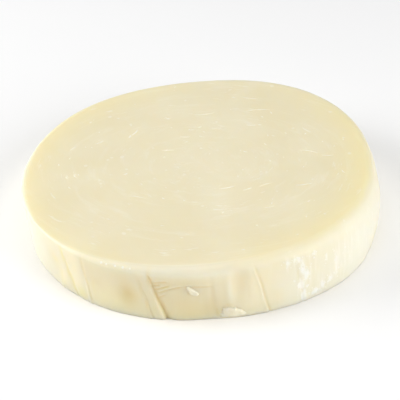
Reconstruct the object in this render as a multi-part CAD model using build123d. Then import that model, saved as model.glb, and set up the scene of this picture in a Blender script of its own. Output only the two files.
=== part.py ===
from build123d import *
from math import cos, exp, radians, sin, tan
import os

# Bare puck of hard shaving soap, sliced from a cast log, with the loose bits of soap stuck to it.
#
# The cake is one solid. Its plan is a slightly oval round with one blunt corner, its wall is nearly
# upright and leans a little, and its cut top face rises slightly to one side. The rim is knife-sharp
# on one stretch and softened everywhere else. The wall carries the folds and presses that the mould's
# film left in it. A chip, a flake and two groups of crumbs of the same soap are stuck to the wall and
# the rim.
#
# Frame: millimetres, +Z up, +X towards the thicker side, the resting face on Z = 0, and the origin in
# the middle of the footprint. Azimuths are degrees about +Z from +X, so the front is at -90.

# ---- The cake ---------------------------------------------------------------------------------
MEAN_RADIUS = 35.0
MIDDLE_THICKNESS = 11.75
TOP_SLOPE = 1.9  # degrees that the top face rises towards +X
LEAN = 1.2  # how far the foot is shifted towards +X from the top
LOBES = ((2, 1.2, 30.0), (3, 0.2, 52.0), (4, 0.5, 52.0), (5, 0.1, 50.0))  # count, height, azimuth
BULGE = 0.8  # how far the wall swells at half height
BULGE_AZIMUTH = -10.0
FOOT_RADIUS = 0.45
RIM_RADIUS_SOFT = 1.7
RIM_RADIUS_SHARP = 0.3
SHARP_AZIMUTH = -150.0  # middle of the sharp stretch of rim
SHARP_SPREAD = 30.0  # degrees each side over which the rim turns soft

# ---- Folds and presses in the wall ------------------------------------------------------------
# Places up the wall are shares of MIDDLE_THICKNESS.
# name: azimuth at the rim and at the foot, groove radius at the rim and at the foot, depth at the foot
FOLDS = {
    "main_fold": (-106.4, -102.0, 0.35, 0.75, 0.45),
    "side_fold": (-109.6, -105.4, 0.30, 0.55, 0.25),
    "left_fold": (-136.0, -130.8, 0.25, 0.55, 0.35),
    "left_pleat": (-128.2, -125.2, 0.25, 0.45, 0.20),
    "right_fold": (-73.2, -69.6, 0.25, 0.40, 0.20),
    "scuff_fold": (-59.6, -57.6, 0.25, 0.60, 0.25),
}
DIMPLE_AZIMUTH, DIMPLE_SHARE, DIMPLE_RADIUS, DIMPLE_DEPTH = -112.5, 0.45, 7.0, 0.45
HOLLOW_AZIMUTH, HOLLOW_SHARE, HOLLOW_RADIUS, HOLLOW_DEPTH = -88.5, 0.23, 9.0, 0.50
PRESS_AZIMUTH, PRESS_DEPTH = -79.5, 0.18  # a flat pressed over the full height of the wall

# ---- Loose bits of soap stuck to the cake -----------------------------------------------------
# Outlines lie on the wall's tangent plane: along the wall to the right, then up.
CHIP_AZIMUTH, CHIP_SHARE, CHIP_THICKNESS = -92.8, 0.61, 0.45
CHIP_OUTLINE = ((-1.35, 1.15), (-0.85, 1.25), (0.95, -0.15), (1.25, -0.95), (0.55, -1.15), (-0.60, -0.55))
CHIP_CORNER = 0.22
FLAKE_AZIMUTH, FLAKE_THICKNESS = -81.6, 0.60
FLAKE_GAP = 0.45  # how far the flake's lower edge stays above the resting face
FLAKE_OUTLINE = (
    (-2.35, 0.05),
    (-1.75, 2.25),
    (-1.05, 2.45),
    (0.60, 2.10),
    (2.10, 1.50),
    (3.10, 0.40),
    (2.20, 0.0),
)
FLAKE_CORNER = 0.18
FLAKE_TILT = 4.0  # degrees that the flake sinks into the wall towards its right end
# azimuth, share of the height, radius of each crumb
WALL_CRUMBS = (
    (-57.6, 0.83, 0.30),
    (-57.0, 0.71, 0.42),
    (-56.2, 0.61, 0.38),
    (-60.8, 0.49, 0.34),
    (-56.4, 0.31, 0.46),
    (-55.8, 0.15, 0.36),
    (-53.2, 0.80, 0.30),
    (-50.8, 0.27, 0.34),
    (-48.4, 0.21, 0.30),
    (-45.0, 0.56, 0.36),
    (-43.6, 0.37, 0.28),
    (-40.2, 0.68, 0.30),
)
# azimuth and radius of each crumb
RIM_CRUMBS = ((-119.8, 0.24), (-118.2, 0.20), (-115.4, 0.22), (-113.0, 0.26), (-110.8, 0.20))
RIM_CRUMB_TURN = 45.0  # how far up the rim's rounding they sit, so that they stay below the top face
CRUMB_SINK = 0.35  # the share of a crumb's radius that its centre sits inside the cake

# ---- How finely the curves are laid out -------------------------------------------------------
SPANS = 8  # the side is this many faces round
SPAN_START = -143.5  # azimuth of one seam between them, chosen so that no seam crosses a mark
SPAN_STEPS = 5
ARC_STEPS = 4
WALL_STEPS = 7
OVERRUN = 2.0  # how far cutters reach past what they cut


def outline_radius(azimuth):
    """The plan's radius at an azimuth."""
    return MEAN_RADIUS + sum(height * cos(radians(count * (azimuth - at))) for count, height, at in LOBES)


def apart(azimuth, other):
    """The angle between two azimuths, from -180 to 180."""
    return (azimuth - other + 180.0) % 360.0 - 180.0


def rim_radius(azimuth):
    """The rim's rounding, which is least at SHARP_AZIMUTH."""
    sharpness = exp(-((apart(azimuth, SHARP_AZIMUTH) / SHARP_SPREAD) ** 2))
    return RIM_RADIUS_SOFT + (RIM_RADIUS_SHARP - RIM_RADIUS_SOFT) * sharpness


def bulge(azimuth, run):
    """How far the wall swells at a share of its height."""
    facing = max(0.0, cos(radians(azimuth - BULGE_AZIMUTH))) ** 2
    return BULGE * facing * 4.0 * run * (1.0 - run)


def top_height(x):
    """The top face's height."""
    return MIDDLE_THICKNESS + tan(radians(TOP_SLOPE)) * x


def wall_point(azimuth, height, inset=0.0):
    """A point of the wall, or one that far inside it."""
    angle = radians(azimuth)
    run = height / MIDDLE_THICKNESS
    radius = outline_radius(azimuth) + bulge(azimuth, min(1.0, max(0.0, run))) - inset
    return Vector(radius * cos(angle) + LEAN * (1.0 - run), radius * sin(angle), height)


def outward(azimuth):
    """The wall's outward direction in plan, square to the outline."""
    step = 0.5
    along = wall_point(azimuth + step, 0.0) - wall_point(azimuth - step, 0.0)
    return Vector(along.Y, -along.X, 0.0).normalized()


def wall_plane(azimuth, height, proud=0.0):
    """A plane on the wall: its X runs along the wall to the right, its Y up, and its Z outward."""
    normal = outward(azimuth)
    right = Vector(-normal.Y, normal.X, 0.0)
    return Plane(origin=wall_point(azimuth, height) + normal * proud, x_dir=right, z_dir=normal)


def foot_point(azimuth, turn):
    """A point of the foot's rounding, turn degrees up from the resting face."""
    inset = FOOT_RADIUS * (1.0 - sin(radians(turn)))
    return wall_point(azimuth, FOOT_RADIUS * (1.0 - cos(radians(turn))), inset)


def rim_point(azimuth, turn):
    """A point of the rim's rounding, turn degrees up from the wall."""
    rounding = rim_radius(azimuth)
    edge = wall_point(azimuth, MIDDLE_THICKNESS, rounding * (1.0 - cos(radians(turn))))
    drop = rounding * (1.0 - sin(radians(turn)))
    point = wall_point(azimuth, top_height(edge.X) - drop, rounding * (1.0 - cos(radians(turn))))
    return Vector(point.X, point.Y, top_height(point.X) - drop)


def side_point(azimuth, share):
    """A point of the wall, at a share of the way from the foot's rounding to the rim's."""
    low = foot_point(azimuth, 90.0).Z
    high = rim_point(azimuth, 0.0).Z
    return wall_point(azimuth, low + share * (high - low))


def ring(point_at, step):
    """One closed section of the cake's side, in one edge for each span."""
    edges = []
    for span in range(SPANS):
        start = SPAN_START + 360.0 * span / SPANS
        azimuths = [start + 360.0 * i / SPANS / SPAN_STEPS for i in range(SPAN_STEPS + 1)]
        ends = (azimuths[0], azimuths[-1])
        tangents = [point_at(end + 0.1, step) - point_at(end - 0.1, step) for end in ends]
        edges.append(Edge.make_spline([point_at(azimuth, step) for azimuth in azimuths], tangents=tangents))
    return Wire(edges)


def build_blank():
    """The cake before the wall is marked."""
    turns = [90.0 * step / ARC_STEPS for step in range(ARC_STEPS + 1)]
    shares = [step / WALL_STEPS for step in range(1, WALL_STEPS)]
    foot = [ring(foot_point, turn) for turn in turns]
    wall = [ring(side_point, share) for share in shares]
    rim = [ring(rim_point, turn) for turn in turns]
    return Solid.make_loft(foot + wall + rim, ruled=False)


def fold_cutter(rim_azimuth, foot_azimuth, radius_at_rim, radius_at_foot, depth):
    """A slim cone laid on the wall, which runs out at the rim and is deepest at the foot."""
    start = wall_plane(rim_azimuth, MIDDLE_THICKNESS + OVERRUN, radius_at_rim).origin
    end = wall_plane(foot_azimuth, -OVERRUN, radius_at_foot - depth).origin
    along = end - start
    return Solid.make_cone(radius_at_rim, radius_at_foot, along.length, Plane(origin=start, z_dir=along))


def ball_cutter(azimuth, share, radius, depth):
    """A ball that presses a shallow dish of that depth into the wall."""
    return Solid.make_sphere(radius, wall_plane(azimuth, share * MIDDLE_THICKNESS, radius - depth))


def press_cutter():
    """A block that flattens the wall over its full height."""
    middle = wall_plane(PRESS_AZIMUTH, MIDDLE_THICKNESS / 2.0, -PRESS_DEPTH)
    tall = MIDDLE_THICKNESS + 4.0 * OVERRUN
    wide = MEAN_RADIUS
    return middle * Pos(0.0, 0.0, wide / 2.0) * Box(wide, tall, wide)


def build_cake():
    """The soap cake with its folds, dish, hollow and pressed flat."""
    cake = Part() + build_blank()
    for fold in FOLDS.values():
        cake -= fold_cutter(*fold)
    cake -= ball_cutter(DIMPLE_AZIMUTH, DIMPLE_SHARE, DIMPLE_RADIUS, DIMPLE_DEPTH)
    cake -= ball_cutter(HOLLOW_AZIMUTH, HOLLOW_SHARE, HOLLOW_RADIUS, HOLLOW_DEPTH)
    cake -= press_cutter()
    return cake


def build_scrap(outline, corner, thickness, plane, cake):
    """A thin scrap of soap of that outline, laid on the wall and bedded against the cake."""
    face = fillet(make_face(Polyline(*outline, close=True)).vertices(), corner)
    slab = plane * Pos(0.0, 0.0, -OVERRUN) * extrude(face, OVERRUN + thickness)
    return slab - cake


def build_chip(cake):
    """The shaving stuck half way up the wall."""
    plane = wall_plane(CHIP_AZIMUTH, CHIP_SHARE * MIDDLE_THICKNESS)
    return build_scrap(CHIP_OUTLINE, CHIP_CORNER, CHIP_THICKNESS, plane, cake)


def build_flake(cake):
    """The torn flake at the foot, which sinks into the wall towards its right end."""
    plane = wall_plane(FLAKE_AZIMUTH, FLAKE_GAP) * Rot(0.0, FLAKE_TILT, 0.0)
    return build_scrap(FLAKE_OUTLINE, FLAKE_CORNER, FLAKE_THICKNESS, plane, cake)


def build_crumb(seat, radius, cake):
    """A ball of soap sunk a little at its seat, without what the cake takes up."""
    return Solid.make_sphere(radius, seat) - cake


def build_wall_crumbs(cake):
    """The crumbs on the right of the wall."""
    return [
        build_crumb(wall_plane(azimuth, share * MIDDLE_THICKNESS, -CRUMB_SINK * radius), radius, cake)
        for azimuth, share, radius in WALL_CRUMBS
    ]


def build_rim_crumbs(cake):
    """The crumbs in a row along the rim."""
    crumbs = []
    for azimuth, radius in RIM_CRUMBS:
        turn = radians(RIM_CRUMB_TURN)
        normal = outward(azimuth) * cos(turn) + Vector(0.0, 0.0, sin(turn))
        seat = rim_point(azimuth, RIM_CRUMB_TURN) - normal * (CRUMB_SINK * radius)
        crumbs.append(build_crumb(Plane(origin=seat), radius, cake))
    return crumbs


def build():
    """Every node by name, moved so that the footprint's middle is the origin."""
    cake = build_cake()
    nodes = {
        "soap_cake": cake,
        "wall_chip": build_chip(cake),
        "foot_flake": build_flake(cake),
        "wall_crumbs": Compound(build_wall_crumbs(cake)),
        "rim_crumbs": Compound(build_rim_crumbs(cake)),
    }
    box = Compound(list(nodes.values())).bounding_box()
    middle = box.center()
    shift = Pos(-middle.X, -middle.Y, -box.min.Z)
    return {name: shift * shape for name, shape in nodes.items()}


if __name__ == "__main__":
    os.makedirs("parts", exist_ok=True)
    for name, shape in build().items():
        export_step(shape, f"parts/{name}.step")
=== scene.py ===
import random
from math import cos, pi, radians, sin, sqrt, tan

import bmesh
import bpy
import numpy as np
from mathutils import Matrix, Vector, noise


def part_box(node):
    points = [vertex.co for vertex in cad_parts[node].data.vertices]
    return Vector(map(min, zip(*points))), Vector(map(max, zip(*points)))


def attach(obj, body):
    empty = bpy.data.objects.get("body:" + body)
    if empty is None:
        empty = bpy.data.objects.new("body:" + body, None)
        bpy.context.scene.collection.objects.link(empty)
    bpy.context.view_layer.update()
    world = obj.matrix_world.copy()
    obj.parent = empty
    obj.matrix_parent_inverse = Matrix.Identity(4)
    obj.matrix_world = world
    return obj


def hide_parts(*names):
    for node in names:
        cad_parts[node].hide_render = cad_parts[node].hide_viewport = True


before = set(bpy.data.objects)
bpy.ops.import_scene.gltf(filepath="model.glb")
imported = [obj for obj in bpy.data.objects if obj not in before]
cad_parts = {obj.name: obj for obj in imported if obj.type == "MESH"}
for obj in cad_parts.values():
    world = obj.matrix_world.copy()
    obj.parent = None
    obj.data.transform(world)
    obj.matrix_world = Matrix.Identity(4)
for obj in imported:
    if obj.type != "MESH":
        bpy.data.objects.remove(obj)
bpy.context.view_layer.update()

bl_info = {
    "name": "Shaving Soap Puck",
    "version": (1, 0, 0),
    "blender": (4, 5, 0),
    "location": "3D View > Sidebar > Soap Puck",
    "description": "Builds a bare puck of hard shaving soap around its fixed frame",
    "category": "Add Mesh",
}

MM = 0.001

# ---- The cake's plan and section, as in the frame but for a smaller rounding of the foot ----
# Azimuths are degrees about +Z from +X, so the front of the wall is at -90.
LOBES = ((2, 1.2, 30.0), (3, 0.2, 52.0), (4, 0.5, 52.0), (5, 0.1, 50.0))  # count, height in mm, azimuth
BULGE_AZIMUTH = -10.0
SHARP_AZIMUTH, SHARP_SPREAD = -150.0, 30.0  # where the rim's edge is sharp
OUTLINE_STEPS = 1441  # places at which the outline is measured
NORMAL_STEP = 0.5  # degrees to either side of a place, over which the wall's direction is taken
CELLS = 160  # cells along each side of the two faces, so four times that many columns round the wall
FOOT_ROWS, WALL_ROWS, RIM_ROWS = 4, 44, 10
ROWS = FOOT_ROWS + WALL_ROWS + RIM_ROWS
AT_EDGE = 0.9999  # the share of the way out past which a point is on the side and not on a face
TWIST = 4.0  # degrees that the columns run back from rim to foot, as the folds do
CROWDING = 0.55  # how much closer the columns stand at the front, where the folds are
CROWDED_AZIMUTH = -100.0
MARKS_LOST = 0.75  # the share of the wall's marks that is gone where the rounding meets the top
HOLLOW_START = 9.0  # how fast the top's unevenness grows inwards from the rim

# ---- The painted colours, most of them painted light and shade ----
GLOW = 0.55  # painted light: the yellow where the side lamps shine through the soap along the rim, clearest at both sides of the cake
GLOW_LEAST = 0.05  # the share of it that is left at the front and the back
GLOW_SIDES = 1.5  # how quickly it falls off from the sides
GLOW_ON_TOP, GLOW_ON_RIM = 6.5, 6  # how narrow it is across the top, and down the rounding
GLOW_LOST, GLOW_LOST_AZIMUTH, GLOW_LOST_SPREAD = 0.20, 180.0, 45.0  # where it is weaker
RIM_SHADE_AZIMUTH, RIM_SHADE_SPREAD = -95.0, 55.0  # where painted shade darkens the rim's rounding, against the sheen it takes from the top lamp
RIM_SHADE_ON_RIM = 1.5  # how narrow that painted shade is
KEEN = 1.3  # how much narrower than the sharp stretch of rim its painted highlight is
KEEN_LESS_SHADE, KEEN_GLARE = 0.5, 0.3  # how much less painted shade that stretch has, and how strong the painted highlight along its sharp edge is
GLOW_FOLD_AZIMUTH, GLOW_FOLD_SPREAD = -132.0, 9.0  # where the folds are painted with yellow lamplight shining through the soap instead of shade
GLOW_FOLD = 2.5  # how strongly that painted light shows
FULL_FOLD = 0.40  # the depth in mm from which a fold has its full painted shade
DENT_DEPTH, WRINKLE_DEPTH = 0.5, 2.6  # how deep dents and wrinkles count for their painted shade
FOOT_BAND = (0.1, 1.1)  # middle and half height in mm of the painted light along the foot
WALL_EASE = 3  # rows over which the wall's own marks fade in above the foot

# ---- Marks in the wall, in millimetres and degrees ----
# Folds: azimuth at the rim and the foot, height where it starts, depth at the start and at the foot,
# softness on the left and right, then the lip beside it: its offset, height and half width
FOLDS = {
    "main": (-106.4, -101.9, 11.0, 0.22, 0.46, 0.16, 0.80, -0.80, 0.07, 0.60),
    "side": (-109.4, -105.8, 10.0, 0.05, 0.17, 0.18, 0.30, -0.70, 0.05, 0.50),
    "left": (-135.8, -131.0, 10.8, 0.12, 0.13, 0.24, 0.26, 1.30, 0.05, 0.90),
    "left_pleat": (-127.9, -125.2, 11.0, 0.04, 0.07, 0.14, 0.34, -0.30, 0.13, 0.17),
    "curl": (-133.6, -137.8, 5.4, 0.03, 0.08, 0.16, 0.24, 0.35, 0.10, 0.25),
    "right": (-73.3, -69.7, 12.0, 0.12, 0.22, 0.14, 0.30, -0.32, 0.14, 0.22),
    "scuffed": (-60.0, -57.7, 11.2, 0.04, 0.09, 0.35, 0.25, 0.45, 0.08, 0.30),
    "back_left": (163.0, 168.0, 10.2, 0.06, 0.30, 0.35, 0.70, -1.00, 0.20, 0.60),
    "back_pleat": (157.5, 160.5, 9.0, 0.03, 0.16, 0.30, 0.45, -0.70, 0.06, 0.40),
    "back": (78.0, 82.5, 11.2, 0.05, 0.24, 0.35, 0.60, -0.90, 0.14, 0.50),
    "back_right": (24.0, 27.0, 11.8, 0.04, 0.16, 0.30, 0.45, -0.60, 0.10, 0.40),
}
FOLD_SWAY, FOLD_SWAY_RATE = 0.10, 0.9  # degrees that a fold sways, and how often up the wall
FOLD_FADE = 1.2  # mm over which a fold fades in below its start
FOLD_NARROW, FOLD_WIDENS = 0.75, 0.5  # a fold's softness at its start, and how much more at the foot
LIP_START = 0.35  # the share of its height that a lip has at the fold's start
# Dents: azimuth, height, half width, half height, depth, where a negative depth stands proud
DENTS = (
    (-112.6, 5.0, 1.9, 2.0, 0.50),
    (-88.5, 2.4, 3.2, 3.4, 0.46),
    (-87.2, 5.5, 0.55, 5.0, 0.12),
    (-81.9, 6.6, 0.75, 4.2, -0.16),
    (-78.4, 8.2, 1.5, 3.4, 0.20),
    (-74.9, 8.0, 0.6, 4.0, -0.10),
    (-139.5, 6.5, 1.6, 1.5, 0.16),
    (-137.6, 1.0, 0.8, 0.7, -0.18),
    (-97.5, 9.6, 5.5, 1.1, 0.16),
    (118.0, 5.0, 3.0, 3.0, 0.30),
    (52.0, 6.5, 4.0, 3.5, 0.22),
    (-170.0, 4.5, 3.5, 3.5, 0.14),
    (-20.0, 3.0, 3.0, 3.0, 0.12),
)
# Wrinkles that run off to the right of the main fold: azimuth and height where each starts and ends,
# how far it bows up, and depth
WRINKLES = (
    (-103.9, 6.15, -95.0, 8.10, 0.30, 0.17),
    (-96.2, 8.05, -86.0, 7.85, 0.02, 0.11),
    (-105.2, 8.35, -99.6, 9.10, 0.15, 0.13),
    (-104.7, 6.85, -99.0, 8.25, 0.15, 0.15),
    (-105.5, 7.55, -101.8, 8.45, 0.05, 0.15),
    (-103.5, 5.05, -101.0, 6.10, 0.05, 0.15),
)
WRINKLE_EASE = (6.0, 4.0)  # how quickly a wrinkle fades in at its start and out at its end
WRINKLE_GROOVE = (1.1, 0.20)  # the share of its depth that its groove has, and half width in mm
WRINKLE_LIP = (0.36, 0.26)  # how far in mm its lip lies above it, and half width
# Slow waves of the whole wall: height in mm, how many round the cake, how they turn with height, phase
WAVES = ((0.07, 5.0, 0.35, 0.0), (0.05, 9.0, -0.30, 1.0), (0.025, 23.0, 0.5, 0.0), (0.018, 37.0, -0.4, 2.0))
# Slow waves of the top face: height in mm, rate along x and along y, phase
TOP_WAVES = ((0.035, 0.16, 0.05, 0.0), (0.03, -0.07, 0.11, 1.3))
RIPPLE, RIPPLE_RATE = 0.006, 0.9  # mm and per mm, round a centre that the cut ran about
RIPPLE_CENTRE, RIPPLE_SQUASH = (-4.0, 6.0), 1.3
# Painted shade in deep yellow: in dents and creases, under the ledge, beside the chip and the flake, and
# along the foot at the front. Azimuth, height, half width in degrees, half height in mm, strength
PAINTED_SHADES = (
    (-95.5, 2.6, 8.0, 5.0, 0.66),
    (-88.0, 2.4, 3.2, 3.6, 0.60),
    (-112.6, 5.0, 2.8, 2.4, 0.95),
    (-105.4, 9.4, 0.8, 1.5, 0.60),
    (-103.8, 6.6, 0.9, 2.4, 0.65),
    (-102.3, 3.4, 1.0, 2.4, 0.75),
    (-101.0, 0.9, 1.0, 1.6, 0.80),
    (-108.6, 7.0, 0.7, 2.2, 0.40),
    (-107.0, 3.2, 0.8, 2.6, 0.45),
    (-96.0, 8.6, 7.0, 0.8, 0.30),
    (-78.6, 7.4, 1.7, 3.4, 0.22),
    (-95.0, 0.3, 13.0, 0.6, 0.50),
    (-86.2, 1.6, 0.8, 1.4, 0.90),
    (-82.4, 3.3, 1.2, 0.4, 0.60),
    (-94.3, 6.5, 0.6, 1.0, 0.70),
    (-122.5, 6.0, 2.2, 1.2, 0.25),
    (-66.5, 3.4, 1.6, 1.6, 0.14),
    (118.0, 5.0, 6.0, 3.5, 0.35),
)
# Painted light, clear yellow, where lamplight shines through the soap by the left folds, in the same way
GLOW_PATCHES = (
    (-139.2, 6.2, 1.7, 0.9, 0.45),
    (-137.0, 3.0, 1.0, 2.5, 0.35),
    (-135.0, 8.6, 0.6, 1.8, 0.80),
    (-133.6, 5.6, 0.6, 2.0, 0.85),
    (-132.1, 2.8, 0.6, 1.8, 0.85),
    (-129.0, 1.4, 1.6, 1.5, 0.80),
    (-124.0, 4.0, 1.0, 3.5, 0.35),
    (-116.0, 2.5, 9.0, 3.5, 0.35),
)
# Painted light, in light cream, on stretches of the wall that the lamps leave too dark, in the same way
PAINTED_LIGHTS = (
    (-130.6, 6.0, 2.6, 6.0, 1.00),
    (-126.6, 5.0, 0.5, 5.5, 0.75),
    (-136.0, 2.5, 2.0, 3.0, 0.90),
    (-120.0, 3.5, 6.0, 4.5, 0.60),
    (-88.0, 10.0, 14.0, 1.6, 0.35),
    (-72.0, 7.0, 10.0, 7.0, 0.45),
)
# Painted light that washes the soap out to a cool cream, mostly at the sides of the wall that the side lamps
# strike, in the same way
PAINTED_GLARE = (
    (-96.0, 10.8, 26.0, 1.3, 0.50),
    (-81.8, 6.8, 1.0, 4.2, 0.25),
    (-60.0, 6.0, 8.0, 8.0, 0.40),
    (-30.0, 6.0, 30.0, 9.0, 0.54),
    (-165.0, 6.0, 24.0, 9.0, 0.60),
    (60.0, 6.0, 30.0, 9.0, 0.20),
)
# Where the wall is scuffed, in the same way
SCUFFS = (
    (-59.0, 10.2, 1.9, 1.1, 0.9),
    (-57.6, 8.2, 1.1, 2.0, 1.0),
    (-56.4, 6.4, 1.3, 1.9, 1.0),
    (-58.6, 4.4, 1.4, 2.1, 1.0),
    (-57.8, 1.6, 1.3, 2.0, 1.0),
    (-53.6, 1.6, 1.9, 1.1, 0.9),
    (-50.4, 2.4, 1.2, 1.5, 0.9),
    (-47.4, 3.0, 1.6, 1.4, 0.8),
    (-44.6, 6.4, 1.0, 3.4, 0.65),
    (-52.8, 10.4, 1.5, 0.9, 0.8),
    (-62.4, 9.8, 1.2, 1.6, 0.7),
    (-48.5, 8.4, 0.9, 1.0, 0.7),
    (-56.0, 6.0, 5.0, 5.5, 0.40),
    (-39.0, 6.0, 7.0, 6.0, 0.45),
    (-24.0, 6.5, 8.0, 5.5, 0.42),
    (-66.0, 7.0, 3.0, 3.0, 0.22),
    (-115.4, 11.0, 4.2, 0.7, 0.8),
    (-152.0, 6.0, 8.0, 5.0, 0.22),
    (60.0, 7.0, 5.0, 3.0, 0.5),
    (143.0, 4.0, 3.0, 4.0, 0.6),
)
GRITTY = 12  # how many of these have grit on them, from the first


def smooth(value):
    """0 below 0, 1 above 1, and an even ease between them."""
    value = np.clip(value, 0.0, 1.0)
    return value * value * (3.0 - 2.0 * value)


def bell(distance):
    """1 in the middle, falling off on both sides."""
    return np.exp(-(distance * distance))


def apart(azimuth, other):
    """The angle between two azimuths, from -180 to 180."""
    return (azimuth - other + 180.0) % 360.0 - 180.0


def patchwork(patches, azimuth, height):
    """How strong a set of patches is at points of the wall, from 0 to 1."""
    total = np.zeros_like(azimuth)
    for at, middle, half_width, half_height, strength in patches:
        patch = strength * bell(apart(azimuth, at) / half_width) * bell((height - middle) / half_height)
        total = np.maximum(total, patch)
    return total


def length(name, description, default, precision=5):
    """A length in metres that the user may change."""
    return bpy.props.FloatProperty(
        name=name, description=description, default=default, unit="LENGTH", precision=precision)


def tint(name, description, default):
    """A colour that the user may change."""
    return bpy.props.FloatVectorProperty(
        name=name, description=description, default=default, size=3, subtype="COLOR", min=0.0, max=1.0)


class PuckSizes(bpy.types.PropertyGroup):
    """The sizes of the cake and what is stuck to it."""

    radius: length(
        name="Mean Radius", description="Mean radius of the cake", default=0.035, precision=4)
    thickness: length(
        name="Thickness", description="Thickness in the middle", default=0.01175, precision=4)
    slope: bpy.props.FloatProperty(
        name="Slope", description="How far the top face rises towards +X", default=radians(1.9),
        subtype="ANGLE")
    lean: length(
        name="Lean", description="Shift of the foot towards +X", default=0.0012)
    bulge: length(
        name="Bulge", description="Swelling of the wall at half height", default=0.0008)
    foot_radius: length(
        name="Foot Rounding", description="Rounding of the lower edge", default=0.0002)
    rim_soft: length(
        name="Soft Rim", description="Rounding where the rim is soft", default=0.0017)
    rim_sharp: length(
        name="Sharp Rim", description="Rounding where the rim is sharp", default=0.0003)
    fold_depth: bpy.props.FloatProperty(
        name="Fold Depth", description="How deep the folds and dents are pressed", default=1.0, min=0.0,
        max=2.0, subtype="FACTOR")
    chip_thickness: length(
        name="Chip Thickness", description="Thickness of the chip on the wall", default=0.00035)
    flake_thickness: length(
        name="Flake Thickness", description="Thickness of the flake at the foot", default=0.00045)


class PuckColours(bpy.types.PropertyGroup):
    """The colours of the soap, and those painted on it as light and shade."""

    soap: tint(
        name="Soap", description="Cream of the cake", default=(0.835, 0.763, 0.541))
    # Painted shade in the folds and dents, and also the soap's own darker swirls on the top
    deep: tint(
        name="Deep Soap", description="Gold of the folds", default=(0.80, 0.66, 0.33))
    # Painted light: the yellow of lamplight shining through the soap
    glow: tint(
        name="Glowing Soap", description="Clear yellow along the rim and in the folds at the left",
        default=(0.90, 0.80, 0.42))
    # Painted light on the foot, on the ridges and on stretches of the wall
    bright: tint(
        name="Bright Soap", description="Light cream of the foot and the ridges", default=(0.98, 0.87, 0.61))
    # Painted light: the sides of the wall washed out by the side lamps, and a painted highlight along the
    # sharp rim
    faded: tint(
        name="Faded Soap", description="Cool cream of the sides of the wall", default=(0.85, 0.86, 0.78))
    # Painted shade on the rim's rounding at the front
    dull: tint(
        name="Dull Soap", description="Cream of the rim's rounding at the front", default=(0.73, 0.68, 0.53))
    dry: tint(
        name="Dry Soap", description="Off-white of scuffs and crumbs", default=(0.93, 0.89, 0.76))
    chalk: tint(
        name="Chalky Soap", description="Near white of the driest scuffs", default=(0.97, 0.955, 0.89))


class PuckStage(bpy.types.PropertyGroup):
    """The studio round the puck."""

    lens: bpy.props.FloatProperty(
        name="Lens", description="Focal length of the camera", default=108.3, unit="CAMERA")
    distance: bpy.props.FloatProperty(
        name="Distance", description="From the camera to the puck", default=0.25, unit="LENGTH")
    elevation: bpy.props.FloatProperty(
        name="Elevation", description="How far the camera looks down", default=radians(35.5),
        subtype="ANGLE")
    floor: tint(
        name="Floor", description="Colour of the floor", default=(0.96, 0.96, 0.96))


# ---- The cake's form ----


def outline_radius(sizes, azimuth):
    """The plan's radius at an azimuth."""
    lobes = sum(height * MM * np.cos(np.radians(count * (azimuth - at))) for count, height, at in LOBES)
    return sizes.radius + lobes


def rim_radius(sizes, azimuth):
    """The rim's rounding, which is least at SHARP_AZIMUTH."""
    sharpness = bell(apart(azimuth, SHARP_AZIMUTH) / SHARP_SPREAD)
    return sizes.rim_soft + (sizes.rim_sharp - sizes.rim_soft) * sharpness


def top_height(sizes, x):
    """The top face's height, before the cake is moved onto its frame."""
    return sizes.thickness + tan(sizes.slope) * x


def wall_point(sizes, azimuth, height, inset):
    """Points of the wall, or that far inside it, one row each."""
    run = height / sizes.thickness
    within = np.clip(run, 0.0, 1.0)
    facing = np.clip(np.cos(np.radians(azimuth - BULGE_AZIMUTH)), 0.0, 1.0) ** 2
    swell = sizes.bulge * facing * 4.0 * within * (1.0 - within)
    radius = outline_radius(sizes, azimuth) + swell - inset
    angle = np.radians(azimuth)
    x = radius * np.cos(angle) + sizes.lean * (1.0 - run)
    return np.stack([x, radius * np.sin(angle), height + 0.0 * x], axis=-1)


def outward(sizes, azimuth):
    """The wall's outward direction in plan, square to the outline."""
    ahead = wall_point(sizes, azimuth + NORMAL_STEP, 0.0, 0.0)
    along = ahead - wall_point(sizes, azimuth - NORMAL_STEP, 0.0, 0.0)
    normal = np.stack([along[..., 1], -along[..., 0], 0.0 * along[..., 0]], axis=-1)
    return normal / np.linalg.norm(normal, axis=-1, keepdims=True)


def plan_shift(sizes):
    """How far the cake moves in plan so that it fills its box in the frame."""
    azimuth = np.linspace(-180.0, 180.0, OUTLINE_STEPS)
    heights = [sizes.foot_radius, sizes.thickness / 2.0, sizes.thickness - sizes.rim_sharp]
    points = np.concatenate([wall_point(sizes, azimuth, height, 0.0) for height in heights])
    low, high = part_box("soap_cake")
    middle = (points.min(axis=0) + points.max(axis=0)) / 2.0
    return np.array([(low.x + high.x) / 2.0 - middle[0], (low.y + high.y) / 2.0 - middle[1], 0.0])


def fold_relief(azimuth, height, fold, radius, thickness):
    """How far one fold moves the wall, and how deep in the fold a point is, in millimetres."""
    at_rim, at_foot, start, shallow, deep, left, right, lip_offset, lip_height, lip_width = fold
    run = np.clip((start - height) / start, 0.0, 1.0)
    line = at_rim + (at_foot - at_rim) * (1.0 - height / thickness)
    line = line + FOLD_SWAY * np.sin(height * FOLD_SWAY_RATE + at_rim)
    across = np.radians(apart(azimuth, line)) * radius
    fade = smooth((start - height) / FOLD_FADE)
    depth = (shallow + (deep - shallow) * smooth(run)) * fade
    spread = np.where(across < 0.0, left, right) * (FOLD_NARROW + FOLD_WIDENS * run)
    groove = depth * bell(across / spread)
    lip = lip_height * fade * smooth(LIP_START + run) * bell((across - lip_offset) / lip_width)
    return lip - groove, groove


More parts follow.
